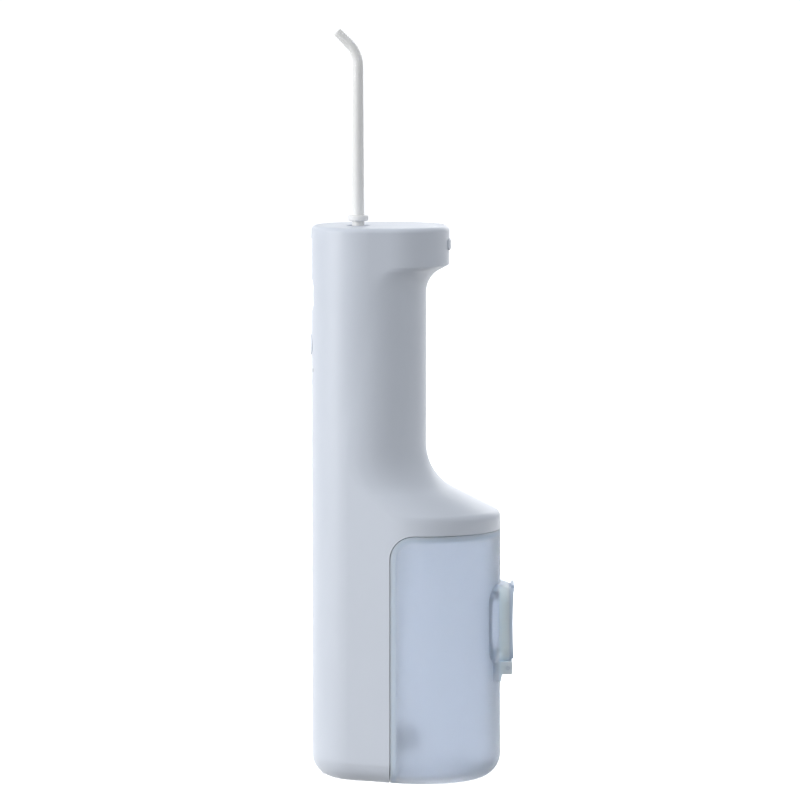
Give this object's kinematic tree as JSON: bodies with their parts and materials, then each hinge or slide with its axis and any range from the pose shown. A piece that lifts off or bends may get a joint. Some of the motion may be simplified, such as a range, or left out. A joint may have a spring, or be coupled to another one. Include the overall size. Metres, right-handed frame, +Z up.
{
  "type": "water flosser",
  "caption": "Slim cordless water flosser: egg-plan handle, clip-on translucent rear tank with a hinged fill cap, turning angled jet nozzle, release and power buttons, geared piston pump inside.",
  "frame": {"origin": "centre of the base footprint, on the surface the flosser stands on", "axes": "+Z up along the handle, -X towards the front (nozzle side and buttons), +X towards the water tank, Y across"},
  "size_m": [0.0735, 0.056, 0.2705],
  "materials": {
    "case": "satin moulded ABS, cool white",
    "case_top": "satin moulded ABS, cool white",
    "case_base": "satin moulded ABS, cool white",
    "seal_rubber": "moulded silicone, dark grey",
    "cap_gasket": "translucent white silicone",
    "screw_steel": "stainless steel",
    "inner_plastic": "natural moulded plastic",
    "cell_wrap": "shrink sleeve, green",
    "nickel": "nickel plated steel",
    "copper": "enamelled copper wire",
    "ferrite": "sintered ferrite",
    "gear_plastic": "acetal, natural white",
    "bush_brass": "sintered bronze",
    "pump_plastic": "glass filled plastic, dark grey",
    "hose": "translucent silicone tube",
    "nozzle": "frosted translucent white",
    "nozzle_collar": "satin white",
    "chuck": "satin moulded plastic, cool white",
    "button": "satin moulded ABS, cool white",
    "release_button": "satin moulded ABS, cool white",
    "lens": "clear light guide",
    "board": "green solder mask",
    "components": "black moulded packages",
    "tank": "translucent pale blue, satin",
    "tank_plate": "translucent pale blue, satin",
    "filter": "moulded white",
    "tank_cap": "translucent pale blue, satin"
  },
  "bodies": {
    "handle": {"axle_bush": "bush_brass", "base_cover": "case_base", "base_gasket": "seal_rubber", "base_screws": "screw_steel", "battery_cells": "cell_wrap", "battery_contacts": "nickel", "battery_holder": "inner_plastic", "board_components": "components", "charging_coil": "copper", "circuit_board": "board", "coil_ferrite": "ferrite", "gearbox_frame": "inner_plastic", "indicator_lenses": "lens", "inlet_spring": "screw_steel", "intake_spigot": "inner_plastic", "main_case": "case", "motor_can": "nickel", "motor_end_cap": "inner_plastic", "nozzle_socket": "inner_plastic", "outlet_spring": "screw_steel", "pump_cylinder": "pump_plastic", "pump_head": "pump_plastic", "pump_head_seal": "seal_rubber", "pump_screws": "screw_steel", "release_spring": "screw_steel", "socket_seal": "seal_rubber", "suction_hose": "hose", "top_cover": "case_top"},
    "tank": {"tank_shell": "tank", "tank_front_plate": "tank_plate", "spigot_bushing": "cap_gasket", "intake_filter": "filter", "cap_hinge_pin": "tank_cap"},
    "fill_cap": {"fill_cap": "tank_cap", "cap_gasket": "cap_gasket"},
    "chuck": {"nozzle_chuck": "chuck", "nozzle_clip": "screw_steel"},
    "nozzle": {"nozzle": "nozzle", "nozzle_collar": "nozzle_collar", "nozzle_o_ring": "seal_rubber"},
    "release_button": {"release_button": "release_button", "release_slider": "release_button"},
    "power_button": {"power_button": "button"},
    "mode_button": {"mode_button": "button"},
    "rotor": {"motor_shaft": "screw_steel", "motor_pinion": "gear_plastic", "motor_armature": "copper"},
    "crown_gear": {"crown_gear": "gear_plastic", "gear_axle": "screw_steel", "crank_pin": "screw_steel"},
    "rod": {"connecting_rod": "gear_plastic"},
    "piston": {"piston": "gear_plastic", "piston_seal": "seal_rubber"},
    "inlet_ball": {"inlet_valve_ball": "screw_steel"},
    "outlet_ball": {"outlet_valve_ball": "screw_steel"}
  },
  "joints": [
    {"name": "tank_slide", "type": "slide", "parent": "handle", "child": "tank", "axis": [1, 0, 0], "range_m": [0, 0.08]},
    {"name": "fill_cap_hinge", "type": "hinge", "parent": "tank", "child": "fill_cap", "pos_m": [0.0366, 0, 0.0409], "axis": [0, 1, 0], "range_deg": [0, 110]},
    {"name": "nozzle_turn", "type": "hinge", "parent": "handle", "child": "chuck", "pos_m": [-0.0173, 0, 0.19], "axis": [0, 0, 1], "continuous": true},
    {"name": "nozzle_lift", "type": "slide", "parent": "chuck", "child": "nozzle", "axis": [0, 0, 1], "range_m": [0, 0.035], "deforming": ["nozzle_clip"]},
    {"name": "release_button_press", "type": "slide", "parent": "handle", "child": "release_button", "axis": [-1, 0, 0], "range_m": [0, 0.0012], "stiffness_N_per_m": 900, "deforming": ["release_spring"]},
    {"name": "power_button_press", "type": "slide", "parent": "handle", "child": "power_button", "axis": [1, 0, 0], "range_m": [0, 0.0008], "stiffness_N_per_m": 1500},
    {"name": "mode_button_press", "type": "slide", "parent": "handle", "child": "mode_button", "axis": [1, 0, 0], "range_m": [0, 0.0008], "stiffness_N_per_m": 1500},
    {"name": "motor_spin", "type": "hinge", "parent": "handle", "child": "rotor", "pos_m": [-0.0136, 0, 0.114], "axis": [0, 0, 1], "continuous": true},
    {"name": "gear_spin", "type": "hinge", "parent": "handle", "child": "crown_gear", "pos_m": [-0.0136, 0, 0.1419], "axis": [0, 1, 0], "continuous": true},
    {"name": "rod_swing", "type": "hinge", "parent": "crown_gear", "child": "rod", "pos_m": [-0.0136, 0, 0.1433], "axis": [0, 1, 0], "continuous": true},
    {"name": "piston_slide", "type": "slide", "parent": "handle", "child": "piston", "axis": [0, 0, 1], "range_m": [-0.0028, 0]},
    {"name": "inlet_valve", "type": "slide", "parent": "handle", "child": "inlet_ball", "axis": [0, 0, 1], "range_m": [-0.0004, 0], "stiffness_N_per_m": 30, "deforming": ["inlet_spring"]},
    {"name": "outlet_valve", "type": "slide", "parent": "handle", "child": "outlet_ball", "axis": [0, 0, 1], "range_m": [0, 0.0005], "stiffness_N_per_m": 30, "deforming": ["outlet_spring"]}
  ],
  "couplings": [
    {"joint": "gear_spin", "follows": "motor_spin", "ratio": 0.25},
    {"joint": "rod_swing", "follows": "motor_spin", "ratio": -0.25}
  ]
}
